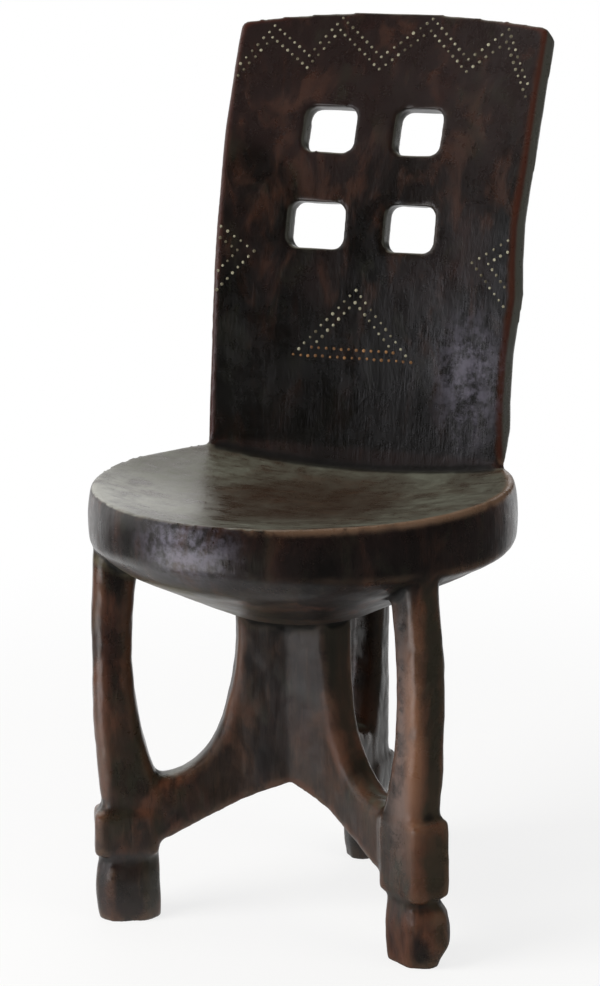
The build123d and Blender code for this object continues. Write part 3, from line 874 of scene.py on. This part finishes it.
def wood_material():
    """Dark oiled wood: smoke-black patina above, red-brown legs, dust on top, worn arrises, and painted
    light, shade, sheens, a reflection and highlights.
    """
    material = bpy.data.materials.new("carved_wood")
    n = Nodes(material)
    noise = {name: n.noise(*values) for name, values in WOOD_NOISES.items()}
    zone = wood_zones(n)
    base, dusty = dusted_wood(n, noise, zone, stained_wood(n, noise, zone))
    base = worn_wood(n, noise, zone, base)
    relief = n.total(
        (noise["grain"], 0.45), (noise["pores"], 0.26), (noise["speckle"], 0.20), (noise["broken"], 0.45)
    )
    bump = n.add("ShaderNodeBump")
    bump.inputs["Strength"].default_value = GRAIN_STRENGTH
    bump.inputs["Distance"].default_value = GRAIN_RELIEF
    n.link(relief, bump.inputs["Height"])
    shader = n.add("ShaderNodeBsdfPrincipled")
    n.link(base, shader.inputs["Base Color"])
    n.link(wood_roughness(n, noise, zone, dusty), shader.inputs["Roughness"])
    n.link(bump.outputs["Normal"], shader.inputs["Normal"])
    shader.inputs["Coat Weight"].default_value = COAT_WEIGHT
    shader.inputs["Coat Roughness"].default_value = COAT_ROUGHNESS
    n.finish(shader)
    return material


# ---------------------------------------------------------------- wire and floor

PALE_WIRE = ((0.40, 0.38, 0.27), (0.11, 0.095, 0.06))  # bright, dull
WARM_WIRE = ((0.38, 0.20, 0.08), (0.16, 0.08, 0.035))
WIRE_TARNISH = (70.0, 4.0, 0.7)  # scale, detail and roughness of its noise
WIRE_ROUGHNESS = (0.25, 0.55)
WIRE_METALLIC = 0.25

# What the gloss mirrors: directions, and cosines of the angles off them where each starts and is full
PAPER_SIDE = (-0.94, 0.34, 0.0)  # white paper stands behind and to the left
PAPER_WIDTH = (0.30, 0.60)
WINDOW_SIDE = (math.cos(math.radians(-134)), math.sin(math.radians(-134)), 0.0)
WINDOW_WIDTH = (0.960, 0.994)
GLARE_SIDE = (math.cos(math.radians(-124)), math.sin(math.radians(-124)), 0.0)
GLARE_WIDTH = (0.915, 0.990)
GLARE_START, GLARE_END = (0.5, 1.1), (3.2, 2.3)  # metres from the chair

# Where the paper on the floor starts and is full, in metres: leftwards, near the chair, and behind it
FLOOR_PAPER_LEFT = (-0.35, 0.45)
FLOOR_PAPER_NEAR = (1.5, 0.8)
FLOOR_PAPER_REAR = (0.1, 0.6)
FLOOR_PAPER_ELSEWHERE = 0.08

FLOOR_SIZE = 14.0
FLOOR_GRAIN = (1.3, 2.0, 0.5)  # scale, detail and roughness of its noise
FLOOR_ROUGHNESS = 0.7
FLOOR_SPECULAR = 0.2
FLOOR_WHITE_ZONE = (0.45, 1.5)  # metres from the chair
FLOOR_COLORS = ((0.88, 0.88, 0.865), (0.91, 0.91, 0.90))
FLOOR_WHITE_NEAR = 0.78  # share of plain white that the camera sees near the chair, and far from it
FLOOR_WHITE_FAR = 1.0
FLOOR_DARK = 0.06  # what the gloss mirrors of the floor: its dark, its paper and its glare
FLOOR_PAPER = 0.92
FLOOR_GLARE = 2.9


def wire_material(name, bright, dull):
    """Wire ends dulled by handling."""
    material = bpy.data.materials.new(name)
    n = Nodes(material)
    tarnish = n.noise(*WIRE_TARNISH)
    shader = n.add("ShaderNodeBsdfPrincipled")
    n.link(n.mix(n.ramp(tarnish, 0.36, 0.62), bright, dull), shader.inputs["Base Color"])
    n.link(n.between(tarnish, *WIRE_ROUGHNESS), shader.inputs["Roughness"])
    shader.inputs["Metallic"].default_value = WIRE_METALLIC
    n.finish(shader)
    return material


def mirrored_rays(n, path):
    """1 for a ray that a glossy or clear surface sends on."""
    return n.larger(path.outputs["Is Glossy Ray"], path.outputs["Is Transmission Ray"])


def mirrored_floor(n, position, away):
    """Brightness of the floor as the gloss mirrors it: white paper on it, and a window's glare."""
    glare = n.ramp(n.dot(n.unit(position), GLARE_SIDE), *GLARE_WIDTH)
    glare = n.times(glare, n.ramp(away, *GLARE_START), n.ramp(away, *GLARE_END))
    _, y, _ = n.split(position)
    close = n.larger(n.ramp(away, *FLOOR_PAPER_NEAR), n.ramp(y, *FLOOR_PAPER_REAR))
    leftwards = n.ramp(n.dot(position, PAPER_SIDE), *FLOOR_PAPER_LEFT)
    paper = n.times(leftwards, n.between(close, FLOOR_PAPER_ELSEWHERE, 1.0))
    return n.plus(n.total((paper, FLOOR_PAPER), (glare, FLOOR_GLARE)), FLOOR_DARK)


def floor_material():
    """Pale floor that keeps a soft shadow near the chair and turns plain white far off."""
    material = bpy.data.materials.new("pale_floor")
    n = Nodes(material)
    shader = n.add("ShaderNodeBsdfPrincipled")
    shade = n.noise(*FLOOR_GRAIN)
    n.link(n.mix(shade, *FLOOR_COLORS), shader.inputs["Base Color"])
    shader.inputs["Roughness"].default_value = FLOOR_ROUGHNESS
    shader.inputs["Specular IOR Level"].default_value = FLOOR_SPECULAR
    position = n.place()
    length = n.add("ShaderNodeVectorMath", operation="LENGTH")
    n.link(position, length.inputs[0])
    away = length.outputs["Value"]
    path = n.add("ShaderNodeLightPath")
    mirrored = mirrored_rays(n, path)
    white = n.add("ShaderNodeEmission")
    past_white = n.math("SUBTRACT", mirrored_floor(n, position, away), 1.0)
    n.link(n.plus(1.0, n.times(mirrored, past_white)), white.inputs["Strength"])
    whiteness = n.between(n.ramp(away, *FLOOR_WHITE_ZONE), FLOOR_WHITE_NEAR, FLOOR_WHITE_FAR)
    seen = n.times(path.outputs["Is Camera Ray"], whiteness)
    both = n.add("ShaderNodeMixShader")
    n.link(n.larger(seen, mirrored), both.inputs[0])
    n.link(shader.outputs[0], both.inputs[1])
    n.link(white.outputs[0], both.inputs[2])
    n.finish(both)
    return material


# ---------------------------------------------------------------- stage, light and camera

CAMERA_FROM_AXIS = Vector((1.2379, -2.6803, 1.1179))
CAMERA_AZIMUTH = math.radians(24.802)
CAMERA_ELEVATION = math.radians(13.004)
CAMERA_ROLL = math.radians(-0.812)
CAMERA_LENS = 111.13
CAMERA_SENSOR = 36.0
CAMERA_REACH = 60.0
LAMP_TARGET = AXIS + Vector((0, 0, 0.45))
LAMPS = (  # name, azimuth, elevation, distance, size, power, colour
    ("window", -132, 38, 2.6, 1.4, 60, (1.0, 0.985, 0.96)),
    ("fill", -8, 28, 3.0, 1.6, 19, (1.0, 0.97, 0.88)),
    ("above", 110, 70, 2.6, 1.6, 16, WHITE),
)
ROOM_LIGHT = (0.28, 0.28, 0.29)  # what the room sheds on dull surfaces
ROOM_DARK = (0.02, 0.02, 0.022)  # what the gloss mirrors of the room, and of its window
WINDOW_LIGHT = (2.6, 2.55, 2.75)


def make_camera():
    """The photo's viewpoint, worked out from the seat's circle."""
    data = bpy.data.cameras.new("view")
    data.sensor_fit = "VERTICAL"
    data.sensor_height = CAMERA_SENSOR
    data.lens = CAMERA_LENS
    data.clip_end = CAMERA_REACH
    camera = new_object("view", data)
    azimuth, elevation, roll = CAMERA_AZIMUTH, CAMERA_ELEVATION, CAMERA_ROLL
    flat = math.cos(elevation)
    back = Vector((math.sin(azimuth) * flat, -math.cos(azimuth) * flat, math.sin(elevation)))
    level = Vector((math.cos(azimuth), math.sin(azimuth), 0.0))
    above = back.cross(level)
    right = level * math.cos(roll) + above * math.sin(roll)
    up = above * math.cos(roll) - level * math.sin(roll)
    turn = Matrix((right, up, back)).transposed().to_4x4()
    camera.matrix_world = Matrix.Translation(AXIS + CAMERA_FROM_AXIS) @ turn
    bpy.context.scene.camera = camera


def make_lamp(name, azimuth, elevation, distance, size, power, color):
    """A soft square lamp that faces the chair, placed by angles about it."""
    data = bpy.data.lights.new(name, "AREA")
    data.shape = "SQUARE"
    data.size = size
    data.energy = power
    data.color = color
    lamp = new_object(name, data)
    lamp.visible_glossy = False
    a, e = math.radians(azimuth), math.radians(elevation)
    out = Vector((math.cos(a) * math.cos(e), math.sin(a) * math.cos(e), math.sin(e)))
    turn = out.to_track_quat("Z", "Y").to_matrix().to_4x4()
    lamp.matrix_world = Matrix.Translation(LAMP_TARGET + out * distance) @ turn


def make_world():
    """White paper behind and to the left, a window at the left front, a dim room elsewhere."""
    world = bpy.data.worlds.new("studio")
    bpy.context.scene.world = world
    n = Nodes(world)
    direction = n.add("ShaderNodeTexCoord").outputs["Generated"]
    paper = n.ramp(n.dot(direction, PAPER_SIDE), *PAPER_WIDTH)
    window = n.ramp(n.dot(direction, WINDOW_SIDE), *WINDOW_WIDTH)
    room = n.mix(window, n.mix(paper, ROOM_DARK, WHITE), WINDOW_LIGHT)
    path = n.add("ShaderNodeLightPath")
    color = n.mix(mirrored_rays(n, path), ROOM_LIGHT, room)
    color = n.mix(path.outputs["Is Camera Ray"], color, WHITE)
    shader = n.add("ShaderNodeBackground")
    n.link(color, shader.inputs["Color"])
    n.finish(shader, "ShaderNodeOutputWorld")


def make_floor():
    """A wide pale floor, named floor and left out of the chair's bodies."""
    bm = bmesh.new()
    bmesh.ops.create_grid(bm, x_segments=2, y_segments=2, size=FLOOR_SIZE)
    mesh = finished_mesh("floor", bm)
    floor = new_object("floor", mesh)
    mesh.materials.append(floor_material())


# ---------------------------------------------------------------- making

make_camera()
make_world()
make_floor()
for lamp in LAMPS:
    make_lamp(*lamp)

carved = carve()
mark_wear(carved)
shade_smooth(carved)
carved.materials.append(wood_material())
block = new_object("carved_block", carved)
wood_nodes = ["seat", "backrest"] + [leg + "_" + member for leg in LEGS for member in MEMBERS]
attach(block, "root")
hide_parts(*wood_nodes)

surface = BVHTree.FromPolygons([v.co for v in carved.vertices], [p.vertices for p in carved.polygons])
rng = np.random.default_rng(PIN_SEED)
pale = wire_material("pale_wire", *PALE_WIRE)
warm = wire_material("warm_wire", *WARM_WIRE)
for node in PIN_NODES:
    pins = make_pins(node, surface, rng)
    is_warm = node == "triangle_base_pins"
    pins.data.materials.append(warm if is_warm else pale)
    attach(pins, "root")
    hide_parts(node)

scene = bpy.context.scene
scene.view_settings.view_transform = "Standard"
